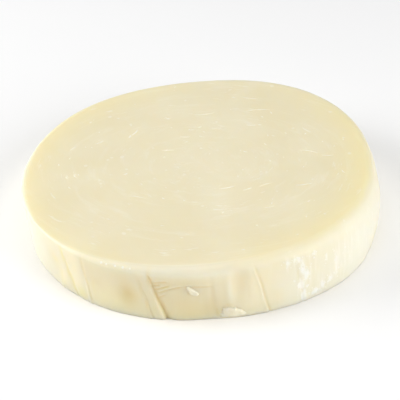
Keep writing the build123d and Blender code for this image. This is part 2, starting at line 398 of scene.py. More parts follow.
def wrinkle_relief(azimuth, height, wrinkle):
    """How far one wrinkle moves the wall, and how deep in it a point is, in millimetres."""
    start, low, end, high, bow, depth = wrinkle
    run = np.clip(apart(azimuth, start) / (end - start), 0.0, 1.0)
    within = smooth(run * WRINKLE_EASE[0]) * smooth((1.0 - run) * WRINKLE_EASE[1])
    across = height - (low + (high - low) * run + bow * 4.0 * run * (1.0 - run))
    groove = WRINKLE_GROOVE[0] * depth * within * bell(across / WRINKLE_GROOVE[1])
    return depth * within * bell((across - WRINKLE_LIP[0]) / WRINKLE_LIP[1]) - groove, groove


def undulation(azimuth, height):
    """The slow unevenness of the whole wall, in millimetres."""
    angle = np.radians(azimuth)
    return sum(size * np.sin(count * angle + turn * height + phase) for size, count, turn, phase in WAVES)


def wall_relief(sizes, azimuth, height):
    """How far the marks move the wall, and how deep in a fold each point is, in metres."""
    rise, radius = height / MM, sizes.radius / MM
    moved = undulation(azimuth, rise)
    depth = np.zeros_like(moved)
    for fold in FOLDS.values():
        relief, groove = fold_relief(azimuth, rise, fold, radius, sizes.thickness / MM)
        moved += relief
        depth = np.maximum(depth, groove)
    for at, middle, half_width, half_height, press in DENTS:
        across = np.radians(apart(azimuth, at)) * radius
        dent = press * bell(across / half_width) * bell((rise - middle) / half_height)
        moved -= dent
        depth = np.maximum(depth, DENT_DEPTH * dent)
    for wrinkle in WRINKLES:
        relief, groove = wrinkle_relief(azimuth, rise, wrinkle)
        moved += relief
        depth = np.maximum(depth, WRINKLE_DEPTH * groove)
    return moved * MM * sizes.fold_depth, depth


def top_relief(x, y):
    """The slow unevenness of the cut face, in metres."""
    u, v = x / MM, y / MM
    waves = sum(size * np.sin(along * u + over * v + phase) for size, along, over, phase in TOP_WAVES)
    reach = np.hypot(u - RIPPLE_CENTRE[0], RIPPLE_SQUASH * v - RIPPLE_CENTRE[1])
    return (waves + RIPPLE * np.sin(RIPPLE_RATE * reach)) * MM


# ---- Modelling ----


def deselect():
    """Leaves edit mode and selects nothing."""
    if bpy.context.object is not None and bpy.context.object.mode != "OBJECT":
        bpy.ops.object.mode_set(mode="OBJECT")
    bpy.ops.object.select_all(action="DESELECT")


def slab(name, half, height, cells, rows):
    """A square slab on Z = 0: a grid, extruded, with rows of faces up its sides."""
    deselect()
    bpy.ops.mesh.primitive_grid_add(x_subdivisions=cells, y_subdivisions=cells, size=2.0 * half)
    piece = bpy.context.object
    piece.name = piece.data.name = name
    bpy.ops.object.mode_set(mode="EDIT")
    bpy.ops.mesh.select_all(action="SELECT")
    bpy.ops.mesh.extrude_region_move(TRANSFORM_OT_translate={"value": (0.0, 0.0, height)})
    bpy.ops.mesh.select_mode(type="EDGE")
    bpy.ops.mesh.select_all(action="DESELECT")
    form = bmesh.from_edit_mesh(piece.data)
    for edge in form.edges:
        edge.select = abs(edge.verts[0].co.z - edge.verts[1].co.z) > height / 2.0
    bmesh.update_edit_mesh(piece.data)
    bpy.ops.mesh.subdivide(number_cuts=rows - 1)
    bpy.ops.mesh.select_all(action="SELECT")
    bpy.ops.mesh.normals_make_consistent(inside=False)
    bpy.ops.object.mode_set(mode="OBJECT")
    return piece


def points_of(piece):
    """A piece's points, one row each."""
    points = np.empty(len(piece.data.vertices) * 3)
    piece.data.vertices.foreach_get("co", points)
    return points.reshape(-1, 3)


def move_points(piece, points):
    """Puts a piece's points in new places."""
    piece.data.vertices.foreach_set("co", points.ravel())
    piece.data.update()


def round_off(points, half):
    """Turns a square's points into a disc's: the share of the way out, and the azimuth in degrees."""
    x, y = points[:, 0] / half, points[:, 1] / half
    wide = np.abs(x) >= np.abs(y)
    out = np.maximum(np.abs(x), np.abs(y))
    over = np.where(np.where(wide, x, y) == 0.0, 1.0, np.where(wide, x, y))
    sideways = np.where(x < 0.0, 180.0, 0.0) + 45.0 * y / over
    upright = np.where(y < 0.0, 270.0, 90.0) - 45.0 * x / over
    return out, apart(np.where(wide, sideways, upright), 0.0)


def paint(piece, name, values):
    """Stores a number at each point, for the material to read."""
    attribute = piece.data.attributes.new(name, "FLOAT", "POINT")
    attribute.data.foreach_set("value", np.asarray(values, np.float32))


def finish_piece(piece, material):
    """Smooths a piece, gives it its material and fixes it to the frame."""
    deselect()
    piece.select_set(True)
    bpy.context.view_layer.objects.active = piece
    bpy.ops.object.shade_smooth()
    piece.data.materials.clear()
    piece.data.materials.append(material)
    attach(piece, "root")
    deselect()


def shape_cake(sizes, piece):
    """Moves the slab's points to the cake's form and paints the marks on them."""
    points = points_of(piece)
    row = np.rint(points[:, 2] / sizes.thickness * ROWS)
    out, column = round_off(points, sizes.radius)
    crowd = np.degrees(CROWDING * np.sin(np.radians(column - CROWDED_AZIMUTH)))
    azimuth = column - crowd + TWIST * (1.0 - row / ROWS)

    foot_turn = np.radians(90.0 * np.clip(row / FOOT_ROWS, 0.0, 1.0))
    rim_turn = np.radians(90.0 * np.clip((row - FOOT_ROWS - WALL_ROWS) / RIM_ROWS, 0.0, 1.0))
    share = np.clip((row - FOOT_ROWS) / WALL_ROWS, 0.0, 1.0)
    rounding = rim_radius(sizes, azimuth)
    inset = sizes.foot_radius * (1.0 - np.sin(foot_turn)) + rounding * (1.0 - np.cos(rim_turn))
    edge = wall_point(sizes, azimuth, sizes.thickness, inset)
    top = top_height(sizes, edge[:, 0])
    foot = sizes.foot_radius * (1.0 - np.cos(foot_turn))
    wall = foot + share * (top - rounding - foot)
    height = np.where(rim_turn > 0.0, top - rounding * (1.0 - np.sin(rim_turn)), wall)
    relief, groove = wall_relief(sizes, azimuth, height)
    relief = relief * (1.0 - MARKS_LOST * np.sin(rim_turn))
    side = wall_point(sizes, azimuth, height, inset) + outward(sizes, azimuth) * relief[:, None]

    middle_x = np.where(row > ROWS / 2.0, 0.0, sizes.lean)
    face_x = middle_x + out * (side[:, 0] - middle_x)
    face_y = out * side[:, 1]
    hollowed = top_relief(face_x, face_y) * smooth((1.0 - out) * HOLLOW_START)
    face_z = np.where(row > ROWS / 2.0, top_height(sizes, face_x) + hollowed, 0.0)
    face = np.stack([face_x, face_y, face_z], axis=-1)
    placed = np.where((out < AT_EDGE)[:, None], face, side)
    move_points(piece, placed + plan_shift(sizes))
    paint_cake(piece, azimuth, height / MM, row, out, rim_turn, groove)


def paint_cake(piece, azimuth, level, row, out, rim_turn, groove):
    """Paints how strong each colour and mark is at the cake's points, whose height is in millimetres,
    painted light and shade among them.
    """
    on_side = (out > AT_EDGE).astype(float)
    above_foot = smooth(np.clip(row - FOOT_ROWS + WALL_EASE, 0, WALL_EASE) / WALL_EASE)
    on_wall = on_side * above_foot * (1.0 - np.sin(rim_turn))
    paint(piece, "wall", on_wall)
    paint(piece, "scuff", patchwork(SCUFFS, azimuth, level) * on_wall)

    # Painted shade in the folds and dents, and painted light where lamplight shines through the soap along
    # the rim and by the left folds
    glow_side = bell(apart(azimuth, GLOW_FOLD_AZIMUTH) / GLOW_FOLD_SPREAD)
    in_fold = np.clip(groove / FULL_FOLD, 0.0, 1.0)
    painted_shade = np.maximum(in_fold * (1.0 - glow_side), patchwork(PAINTED_SHADES, azimuth, level))
    clear = np.maximum(patchwork(GLOW_PATCHES, azimuth, level), GLOW_FOLD * in_fold * glow_side)
    sides = np.abs(np.cos(np.radians(azimuth - BULGE_AZIMUTH))) ** GLOW_SIDES
    on_top = (row == ROWS) * bell((1.0 - out) * GLOW_ON_TOP)
    band = np.maximum(on_top, (row < ROWS) * np.sin(rim_turn) ** GLOW_ON_RIM)
    band = band * (GLOW_LEAST + (1.0 - GLOW_LEAST) * sides)
    band = band * (GLOW - GLOW_LOST * bell(apart(azimuth, GLOW_LOST_AZIMUTH) / GLOW_LOST_SPREAD))
    paint(piece, "fold", painted_shade * on_side)
    paint(piece, "glow", np.clip(np.maximum(band, clear * on_side), 0.0, 1.0))

    # Painted light along the foot, on stretches of the wall and at its sides, a painted highlight on the
    # sharp rim, and painted shade on the rim's rounding at the front
    at_foot = bell((level - FOOT_BAND[0]) / FOOT_BAND[1])
    keen = bell(KEEN * apart(azimuth, SHARP_AZIMUTH) / SHARP_SPREAD)
    faded = np.maximum(patchwork(PAINTED_GLARE, azimuth, level), KEEN_GLARE * keen * np.sin(2.0 * rim_turn))
    rim_shade_side = bell(apart(azimuth, RIM_SHADE_AZIMUTH) / RIM_SHADE_SPREAD) * (1.0 - KEEN_LESS_SHADE * keen)
    paint(piece, "bright", np.maximum(patchwork(PAINTED_LIGHTS, azimuth, level), at_foot) * on_side)
    paint(piece, "faded", faded * on_side)
    paint(piece, "dull", (row < ROWS) * np.sin(rim_turn) ** RIM_SHADE_ON_RIM * rim_shade_side)


# ---- Scraps and crumbs ----
CHIP_AZIMUTH, CHIP_HEIGHT = -92.8, 7.0
CHIP_OUTLINE = ((-1.35, 1.15), (-0.85, 1.25), (0.95, -0.15), (1.25, -0.95), (0.55, -1.15), (-0.60, -0.55))
FLAKE_AZIMUTH, FLAKE_HEIGHT = -81.6, 1.6
FLAKE_OUTLINE = (
    (-2.35, -1.10), (-1.75, 1.10), (-1.05, 1.30), (0.60, 0.95), (2.10, 0.35), (3.10, -0.75), (2.2, -1.15))
SCRAP_CELLS, SCRAP_ROWS = 28, 4
SCRAP_BED = 0.6 * MM  # how far a scrap's underside lies inside the wall
SCRAP_SOFTNESS = 7.0  # degrees over which the corners of a scrap's outline are rounded
SCRAP_BEVEL, SCRAP_SKIRT = 0.10, 0.25  # how much its upper side is narrower, and its edge's thickness
SCRAP_GRAIN, SCRAP_GRAIN_RATE = 0.15, 1400.0  # unevenness of its upper side, and how fine that is
TEAR_RATES, TEAR_FINE = (3.0, 8.0), 0.8  # how often its edge is torn, and how strong the finer tears are


def outline_reach(outline, azimuth):
    """How far a closed outline of straight runs reaches from its middle, at each azimuth, in millimetres."""
    corners = np.array(outline)
    reach = np.zeros_like(azimuth)
    direction = np.stack([np.cos(np.radians(azimuth)), np.sin(np.radians(azimuth))], axis=-1)
    for start, end in zip(corners, np.roll(corners, -1, axis=0)):
        along = end - start
        turned = direction[:, 0] * along[1] - direction[:, 1] * along[0]
        turned = np.where(np.abs(turned) < 1e-9, 1e-9, turned)
        distance = (start[0] * along[1] - start[1] * along[0]) / turned
        share = (start[0] * direction[:, 1] - start[1] * direction[:, 0]) / turned
        hit = (share >= -1e-6) & (share <= 1.0 + 1e-6) & (distance > 0.0)
        reach = np.where(hit, np.maximum(reach, distance), reach)
    return reach


def softened_reach(outline, azimuth, spread):
    """The outline's reach, averaged over a few degrees so that its corners are round."""
    turns = np.linspace(-spread, spread, 9)
    return sum(outline_reach(outline, azimuth + turn) for turn in turns) / len(turns)


def lay_on_wall(sizes, azimuth, height, across, up, proud):
    """Points on the wall: across and up from a place on it, and that far proud of it."""
    normal = outward(sizes, np.array([azimuth]))[0]
    right = np.array([-normal[1], normal[0], 0.0])
    seat = wall_point(sizes, np.array([azimuth]), height, 0.0)[0]
    flat = seat + across[:, None] * right + up[:, None] * np.array([0.0, 0.0, 1.0])
    beneath = wall_relief(sizes, azimuth + np.degrees(across / sizes.radius), height + up)[0]
    return flat + (beneath + proud)[:, None] * normal + plan_shift(sizes)


def make_scrap(sizes, name, outline, azimuth, height, thickness, curl, ragged, sink):
    """A thin scrap of soap on the wall: a slab rounded off to its outline, torn, and sunk at one end."""
    piece = slab(name, 1.0, 1.0, SCRAP_CELLS, SCRAP_ROWS)
    points = points_of(piece)
    out, turn = round_off(points, 1.0)
    level = points[:, 2]
    loop = [Vector((cos(radians(at)), sin(radians(at)), azimuth)) for at in turn]
    coarse, fine = TEAR_RATES
    torn = np.array([noise.noise(at * coarse) + TEAR_FINE * noise.noise(at * fine) for at in loop])
    reach = softened_reach(outline, turn, SCRAP_SOFTNESS) * (1.0 + ragged * torn)
    edge = 1.0 - SCRAP_BEVEL * level ** 2
    across = out * reach * edge * np.cos(np.radians(turn)) * MM
    up = out * reach * edge * np.sin(np.radians(turn)) * MM
    crown = 1.0 - out ** 6
    places = zip(across, up)
    grain = np.array([noise.noise(Vector((a, b, azimuth)) * SCRAP_GRAIN_RATE) for a, b in places])
    crown = SCRAP_SKIRT + (1.0 - SCRAP_SKIRT) * crown
    skin = thickness * (crown + curl * out ** 2 + SCRAP_GRAIN * grain)
    bend, dip = 0.5 * across ** 2 / sizes.radius, sink * np.maximum(across, 0.0)
    proud = -SCRAP_BED + level * (SCRAP_BED + skin) - bend - dip
    move_points(piece, lay_on_wall(sizes, azimuth, height, across, up, proud))
    return piece


class PUCK_OT_cake(bpy.types.Operator):
    """Build the soap cake with its folds, dents and rolled rim"""

    bl_idname = "puck.cake"
    bl_label = "Soap Cake"

    def execute(self, context):
        sizes = context.scene.puck_sizes
        piece = slab("cake", sizes.radius, sizes.thickness, CELLS, ROWS)
        shape_cake(sizes, piece)
        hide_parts("soap_cake")
        finish_piece(piece, soap_material(context.scene.puck_colours))
        return {"FINISHED"}


class PUCK_OT_chip(bpy.types.Operator):
    """Build the teardrop chip stuck to the front of the wall"""

    bl_idname = "puck.chip"
    bl_label = "Wall Chip"

    def execute(self, context):
        sizes = context.scene.puck_sizes
        piece = make_scrap(sizes, "chip", CHIP_OUTLINE, CHIP_AZIMUTH, CHIP_HEIGHT * MM,
                           sizes.chip_thickness, curl=0.15, ragged=0.05, sink=0.0)
        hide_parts("wall_chip")
        finish_piece(piece, scrap_material(context.scene.puck_colours))
        return {"FINISHED"}


class PUCK_OT_flake(bpy.types.Operator):
    """Build the torn flake at the foot of the wall"""

    bl_idname = "puck.flake"
    bl_label = "Foot Flake"

    def execute(self, context):
        sizes = context.scene.puck_sizes
        piece = make_scrap(sizes, "flake", FLAKE_OUTLINE, FLAKE_AZIMUTH, FLAKE_HEIGHT * MM,
                           sizes.flake_thickness, curl=0.10, ragged=0.20, sink=0.09)
        piece.visible_shadow = False
        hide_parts("foot_flake")
        finish_piece(piece, scrap_material(context.scene.puck_colours))
        return {"FINISHED"}


# ---- Materials ----


class Nodes:
    """A material's nodes, added and joined in a line of code each."""

    def __init__(self, name):
        self.material = bpy.data.materials.new(name)
        self.material.use_nodes = True
        self.tree = self.material.node_tree
        self.tree.nodes.clear()

    def add(self, kind, settings=None, **inputs):
        """Adds a node, sets its settings, and feeds its inputs, named with _ for a space."""
        node = self.tree.nodes.new(kind)
        for key, value in (settings or {}).items():
            setattr(node, key, value)
        for key, value in inputs.items():
            self.feed(node, key.replace("_", " "), value)
        return node

    def feed(self, node, key, value):
        """Feeds one input from a socket or a value."""
        socket = node.inputs[int(key)] if key.isdigit() else node.inputs[key]
        if isinstance(value, bpy.types.NodeSocket):
            self.tree.links.new(value, socket)
        else:
            socket.default_value = value

    def math(self, operation, first, second, clamp=False):
        """A math node's result."""
        node = self.add("ShaderNodeMath", {"operation": operation, "use_clamp": clamp})
        self.feed(node, "0", first)
        self.feed(node, "1", second)
        return node.outputs[0]

    def times(self, first, second):
        """Two values multiplied."""
        return self.math("MULTIPLY", first, second)

    def plus(self, first, second, clamp=False):
        """Two values added."""
        return self.math("ADD", first, second, clamp)

    def mix(self, factor, first, second):
        """A mixed colour."""
        node = self.add("ShaderNodeMix", {"data_type": "RGBA", "blend_type": "MIX"})
        self.feed(node, "0", factor)
        self.feed(node, "6", first)
        self.feed(node, "7", second)
        return node.outputs[2]

    def span(self, value, ends, to=(0.0, 1.0)):
        """A value moved from one range to another, eased and clamped."""
        node = self.add("ShaderNodeMapRange", {"interpolation_type": "SMOOTHSTEP"})
        for index, number in enumerate((value, *ends, *to)):
            self.feed(node, str(index), number)
        return node.outputs[0]

    def attribute(self, name):
        """A number painted on the piece's points."""
        return self.add("ShaderNodeAttribute", {"attribute_name": name}).outputs["Fac"]

    def noise(self, vector, scale, detail=3.0, roughness=0.5, distortion=0.0):
        """A noise texture's value."""
        node = self.add("ShaderNodeTexNoise", Vector=vector, Scale=scale, Detail=detail, Roughness=roughness,
                        Distortion=distortion)
        return node.outputs[0]

    def stretch(self, vector, scale):
        """Coordinates scaled by a different amount along each axis."""
        node = self.add("ShaderNodeVectorMath", {"operation": "MULTIPLY"})
        self.feed(node, "0", vector)
        self.feed(node, "1", scale)
        return node.outputs[0]


def colour(values):
    """A colour with its alpha."""
    return (*values, 1.0)


def soap_shader(nodes, base, roughness, bump, depth, translucence=0.85):
    """The waxy surface that all the soap has, which light enters to about that depth."""
    shader = nodes.add("ShaderNodeBsdfPrincipled")
    nodes.feed(shader, "Base Color", base)
    nodes.feed(shader, "Roughness", roughness)
    nodes.feed(shader, "Normal", bump)
    shader.inputs["IOR"].default_value = 1.46
    shader.inputs["Subsurface Weight"].default_value = translucence
    shader.inputs["Subsurface Radius"].default_value = (1.0, 0.88, 0.65)
    shader.inputs["Subsurface Scale"].default_value = depth
    shader.inputs["Coat Weight"].default_value = 0.06
    shader.inputs["Coat Roughness"].default_value = 0.32
    output = nodes.add("ShaderNodeOutputMaterial")
    nodes.tree.links.new(shader.outputs[0], output.inputs["Surface"])


def bump_of(nodes, height, distance):
    """A bump from a height."""
    return nodes.add("ShaderNodeBump", Height=height, Distance=distance, Strength=1.0).outputs[0]


# How strongly each of the painted colours and marks shows, from 0 to 1; the first three are painted light
# and painted shade
SHOWS = {"bright": 0.85, "dull": 0.50, "fold": 0.80, "speck": 0.8, "pale": 0.6, "chalk": 0.70}
ARC_SQUASH = 1.25  # how much narrower from front to back the arcs on the faces are than circles
ARC_RATE, ARC_RUN = 900.0, 4.5  # how close the arcs lie, and how often they break off
MIDDLE_REACH = (0.004, 0.024)  # metres from the middle between which the face's paler middle ends
SCUFF_WEIGHT, FLECK_WEIGHT = 0.75, 0.35  # how much scuffs and their flecks add to the chalk's grain
ROUGHER = {"chalk": 0.30, "pale": 0.18}  # how much rougher the chalk and the pale marks are
RAISED = {"grain": 0.25, "streaks": 1.1, "arcs": 0.5, "pale": 0.8, "chalk": 1.4}  # shares of the bump
SOAP_BUMP, CRUMB_BUMP, PAPER_BUMP = 0.03 * MM, 0.04 * MM, 0.01 * MM
SOAP_DEPTH, SCRAP_DEPTH, CRUMB_DEPTH = 3.0 * MM, 0.4 * MM, 0.2 * MM  # how deep light gets in
THIN_TRANSLUCENCE = 0.6


def soap_material(colours):
    """Cream soap: mottled, streaked by the cut on top, scuffed and streaked on the wall, with painted light
    and shade.
    """
    nodes = Nodes("cream_soap")
    place = nodes.add("ShaderNodeTexCoord").outputs["Object"]
    painted = ("wall", "fold", "scuff", "glow", "bright", "faded", "dull")
    wall, fold, scuff, glow, bright, faded, dull = (nodes.attribute(name) for name in painted)
    off_wall = nodes.math("SUBTRACT", 1.0, wall)
    dry = colour(colours.dry)

    # Arcs that the cut left on the faces: noise drawn out round the cake.
    split = nodes.add("ShaderNodeSeparateXYZ", Vector=place)
    distance = nodes.add("ShaderNodeVectorMath", {"operation": "LENGTH"})
    nodes.feed(distance, "0", nodes.stretch(place, (1.0, ARC_SQUASH, 0.0)))
    turn = nodes.math("ARCTAN2", split.outputs[1], split.outputs[0])
    arcs = nodes.add("ShaderNodeCombineXYZ")
    nodes.feed(arcs, "X", nodes.times(distance.outputs["Value"], ARC_RATE))
    nodes.feed(arcs, "Y", nodes.times(nodes.math("COSINE", turn, 0.0), ARC_RUN))
    nodes.feed(arcs, "Z", nodes.times(nodes.math("SINE", turn, 0.0), ARC_RUN))
    arc_bands = nodes.noise(arcs.outputs[0], 0.55, detail=4.0, roughness=0.6, distortion=0.6)
    arc_lines = nodes.noise(arcs.outputs[0], 1.5, detail=3.0, roughness=0.6, distortion=0.8)
    swirls = nodes.noise(place, 75.0, detail=3.0, roughness=0.5, distortion=1.6)

    mottle = nodes.noise(place, 90.0, detail=4.0, roughness=0.55, distortion=0.5)
    middle = nodes.span(distance.outputs["Value"], MIDDLE_REACH, to=(0.17, 0.0))
    base = nodes.mix(nodes.times(middle, off_wall), colour(colours.soap), dry)
    base = nodes.mix(nodes.span(mottle, (0.35, 0.7), to=(0.0, 0.12)), base, dry)
    base = nodes.mix(nodes.span(swirls, (0.42, 0.62), to=(0.08, 0.0)), base, colour(colours.deep))
    swirl = nodes.times(nodes.span(arc_bands, (0.50, 0.74), to=(0.0, 0.26)), off_wall)
    base = nodes.mix(swirl, base, dry)
    # Painted light on the foot and the wall, glare at the sides and on the sharp rim, painted shade on the
    # front rim, lamplight through the soap, and painted shade in the folds
    base = nodes.mix(nodes.times(bright, SHOWS["bright"]), base, colour(colours.bright))
    base = nodes.mix(faded, base, colour(colours.faded))
    base = nodes.mix(nodes.times(dull, SHOWS["dull"]), base, colour(colours.dull))
    base = nodes.mix(glow, base, colour(colours.glow))
    base = nodes.mix(nodes.times(fold, SHOWS["fold"]), base, colour(colours.deep))

    # Short pale marks on the faces, only where a patchy mask lets them through.
    patches = nodes.span(nodes.noise(place, 160.0, detail=2.0), (0.50, 0.62))
    marks = nodes.times(nodes.span(arc_lines, (0.58, 0.68)), patches)
    specks = nodes.add("ShaderNodeTexVoronoi", Vector=place, Scale=420.0, Randomness=1.0)
    speck_size = nodes.span(nodes.noise(place, 230.0, detail=1.0), (0.52, 0.75), to=(0.0, 0.26))
    speck = nodes.math("LESS_THAN", specks.outputs["Distance"], speck_size)
    pale = nodes.times(nodes.math("MAXIMUM", marks, nodes.times(speck, SHOWS["speck"])), off_wall)
    base = nodes.mix(nodes.times(pale, SHOWS["pale"]), base, dry)

    # Chalky scuffs and fine upright streaks on the wall.
    upright = nodes.stretch(place, (1.0, 1.0, 0.6))
    chalk_grain = nodes.noise(upright, 1300.0, detail=6.0, roughness=0.75, distortion=0.8)
    flecks = nodes.noise(place, 3200.0, detail=2.0, roughness=0.6)
    chalk = nodes.plus(nodes.times(scuff, SCUFF_WEIGHT), chalk_grain)
    chalk = nodes.span(nodes.plus(chalk, nodes.times(flecks, FLECK_WEIGHT)), (0.95, 1.35))
    chalk = nodes.times(chalk, nodes.span(scuff, (0.02, 0.30)))
    streaks = nodes.noise(nodes.stretch(place, (1.0, 1.0, 0.07)), 1100.0, detail=3.0, roughness=0.6)
    brushed = nodes.times(nodes.span(scuff, (0.0, 0.35), to=(0.12, 1.0)), wall)
    streak = nodes.times(nodes.span(streaks, (0.46, 0.72), to=(0.0, 0.65)), brushed)
    base = nodes.mix(streak, base, dry)
    base = nodes.mix(nodes.times(chalk, SHOWS["chalk"]), base, colour(colours.chalk))

    worn = nodes.math("MAXIMUM", nodes.times(chalk, ROUGHER["chalk"]), nodes.times(pale, ROUGHER["pale"]))
    roughness = nodes.plus(nodes.span(mottle, (0.3, 0.7), to=(0.44, 0.54)), worn, clamp=True)

    height = nodes.times(nodes.noise(place, 2600.0, detail=3.0, roughness=0.6), RAISED["grain"])
    height = nodes.plus(height, nodes.times(nodes.times(streaks, brushed), RAISED["streaks"]))
    height = nodes.plus(height, nodes.times(nodes.times(arc_lines, off_wall), RAISED["arcs"]))
    height = nodes.plus(height, nodes.times(pale, RAISED["pale"]))
    height = nodes.plus(height, nodes.times(chalk, RAISED["chalk"]))
    soap_shader(nodes, base, roughness, bump_of(nodes, height, SOAP_BUMP), SOAP_DEPTH)
    return nodes.material


def scrap_material(colours):
    """Thin torn soap, a little paler than the cake."""
    if "torn_soap" in bpy.data.materials:
        return bpy.data.materials["torn_soap"]
    nodes = Nodes("torn_soap")
    place = nodes.add("ShaderNodeTexCoord").outputs["Object"]
    mottle = nodes.noise(place, 900.0, detail=4.0, roughness=0.6, distortion=0.4)
    paler = nodes.span(mottle, (0.3, 0.7), to=(0.25, 0.75))
    base = nodes.mix(paler, colour(colours.soap), colour(colours.dry))
    roughness = nodes.span(mottle, (0.3, 0.7), to=(0.45, 0.62))
    grain = nodes.noise(nodes.stretch(place, (1.0, 1.0, 0.5)), 3000.0, detail=4.0, roughness=0.65)
    bump = bump_of(nodes, grain, SOAP_BUMP)
    soap_shader(nodes, base, roughness, bump, SCRAP_DEPTH, THIN_TRANSLUCENCE)
    return nodes.material


def crumb_material(colours):
    """Dry, pale soap of the crumbs and the burrs."""
    if "dry_crumb" in bpy.data.materials:
        return bpy.data.materials["dry_crumb"]
    nodes = Nodes("dry_crumb")
    place = nodes.add("ShaderNodeTexCoord").outputs["Object"]
    grain = nodes.noise(place, 4200.0, detail=4.0, roughness=0.7)
    chalky = nodes.span(grain, (0.3, 0.7), to=(0.0, 0.5))
    base = nodes.mix(chalky, colour(colours.dry), colour(colours.chalk))
    roughness = nodes.span(grain, (0.3, 0.7), to=(0.65, 0.85))
    bump = bump_of(nodes, grain, CRUMB_BUMP)
    soap_shader(nodes, base, roughness, bump, CRUMB_DEPTH, THIN_TRANSLUCENCE)
    return nodes.material


def paper_material(name, tint):
    """Plain matt studio paper."""
    nodes = Nodes(name)
    place = nodes.add("ShaderNodeTexCoord").outputs["Object"]
    tooth = nodes.noise(place, 1800.0, detail=2.0)
    shader = nodes.add("ShaderNodeBsdfPrincipled", Normal=bump_of(nodes, tooth, PAPER_BUMP))
    shader.inputs["Base Color"].default_value = colour(tint)
    shader.inputs["Roughness"].default_value = 0.9
    shader.inputs["Specular IOR Level"].default_value = 0.1
    output = nodes.add("ShaderNodeOutputMaterial")
    nodes.tree.links.new(shader.outputs[0], output.inputs["Surface"])
    return nodes.material


# ---- Crumbs ----
# The crumbs that the frame holds, as there. On the wall: azimuth, share of the height, radius in mm
WALL_CRUMBS = (
    (-57.6, 0.83, 0.30), (-57.0, 0.71, 0.42), (-56.2, 0.61, 0.38), (-60.8, 0.49, 0.34), (-56.4, 0.31, 0.46),
    (-55.8, 0.15, 0.36), (-53.2, 0.80, 0.30), (-50.8, 0.27, 0.34), (-48.4, 0.21, 0.30), (-45.0, 0.56, 0.36),
    (-43.6, 0.37, 0.28), (-40.2, 0.68, 0.30),
)
# On the rim: azimuth, radius in mm
RIM_CRUMBS = ((-119.8, 0.24), (-118.2, 0.20), (-115.4, 0.22), (-113.0, 0.26), (-110.8, 0.20))
RIM_CRUMB_TURN = radians(45.0)  # how far up the rim's rounding they sit
CRUMB_SINK = 0.15  # the share of a crumb's radius that its middle lies inside the cake
CRUMB_FLATNESS = 0.70  # the share of its thickness that it loses
CRUMB_SIZE, CRUMB_LUMPS, CRUMB_PITS = 0.9, 0.35, 0.14  # its mean size, and how far it is pushed in and out
LUMP_RATE, PIT_RATE = 1.3, 3.7
CRUMB_CUTS, GRIT_CUTS = 3, 2  # how finely crumbs and grit are divided
GRIT, GRIT_SEED = 90, 5  # crumbs too small for the frame, strewn where the wall is scuffed
GRIT_RADIUS = (0.10, 0.22)  # mm
GRIT_SPREAD = (0.8, 0.6)  # how far it strays along and up the wall, as shares of a scuff's half size
GRIT_HEIGHTS = (0.6, 10.4)  # mm between which it stays


def add_crumb(place, normal, radius, seed, cuts=CRUMB_CUTS):
    """One rough crumb: a ball pushed in and out, and flattened against the cake."""
    deselect()
    bpy.ops.mesh.primitive_ico_sphere_add(subdivisions=cuts, radius=1.0, location=(0.0, 0.0, 0.0))
    crumb = bpy.context.object
    points = points_of(crumb)
    lumps = np.array([noise.noise(Vector(p) * LUMP_RATE + Vector((seed, 0.0, 0.0))) for p in points])
    pits = np.array([noise.noise(Vector(p) * PIT_RATE + Vector((0.0, seed, 0.0))) for p in points])
    points = points * (CRUMB_SIZE + CRUMB_LUMPS * lumps + CRUMB_PITS * pits)[:, None]
    points -= CRUMB_FLATNESS * (points @ normal)[:, None] * normal
    move_points(crumb, points * radius + place)
    return crumb


def seat_on_wall(sizes, azimuth, height, sink):
    """The place of a crumb on the wall, sunk in it that far, and the wall's outward direction there."""
    at = np.array([azimuth])
    normal = outward(sizes, at)[0]
    relief = wall_relief(sizes, at, np.array([height]))[0][0]
    return wall_point(sizes, at, height, 0.0)[0] + normal * (relief - sink) + plan_shift(sizes), normal


def join(pieces, name):
    """Joins several objects into one."""
    deselect()
    for piece in pieces:
        piece.select_set(True)
    bpy.context.view_layer.objects.active = pieces[0]
    bpy.ops.object.join()
    joined = bpy.context.object
    joined.name = joined.data.name = name
    return joined


def finish_crumbs(context, piece):
    """Finishes crumbs or burrs, which are too small and clear to cast a shadow."""
    piece.visible_shadow = False
    finish_piece(piece, crumb_material(context.scene.puck_colours))


class PUCK_OT_wall_crumbs(bpy.types.Operator):
    """Build the dry crumbs and the grit on the scuffed stretch of wall"""

    bl_idname = "puck.wall_crumbs"
    bl_label = "Wall Crumbs"

    def execute(self, context):
        sizes = context.scene.puck_sizes
        crumbs = []
        for index, (azimuth, share, radius) in enumerate(WALL_CRUMBS):
            seat = seat_on_wall(sizes, azimuth, share * sizes.thickness, CRUMB_SINK * radius * MM)
            crumbs.append(add_crumb(*seat, radius * MM, seed=7.0 * index))
        dice = random.Random(GRIT_SEED)
        for index in range(GRIT):
            azimuth, middle, half_width, half_height, _ = dice.choice(SCUFFS[:GRITTY])
            azimuth += dice.gauss(0.0, GRIT_SPREAD[0]) * half_width
            height = middle + dice.gauss(0.0, GRIT_SPREAD[1]) * half_height
            height = min(max(height, GRIT_HEIGHTS[0]), GRIT_HEIGHTS[1]) * MM
            radius = dice.uniform(*GRIT_RADIUS) * MM
            seat = seat_on_wall(sizes, azimuth, height, CRUMB_SINK * radius)
            crumbs.append(add_crumb(*seat, radius, 5.0 * index, GRIT_CUTS))
        piece = join(crumbs, "crumbs_on_wall")
        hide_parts("wall_crumbs")
        finish_crumbs(context, piece)
        return {"FINISHED"}


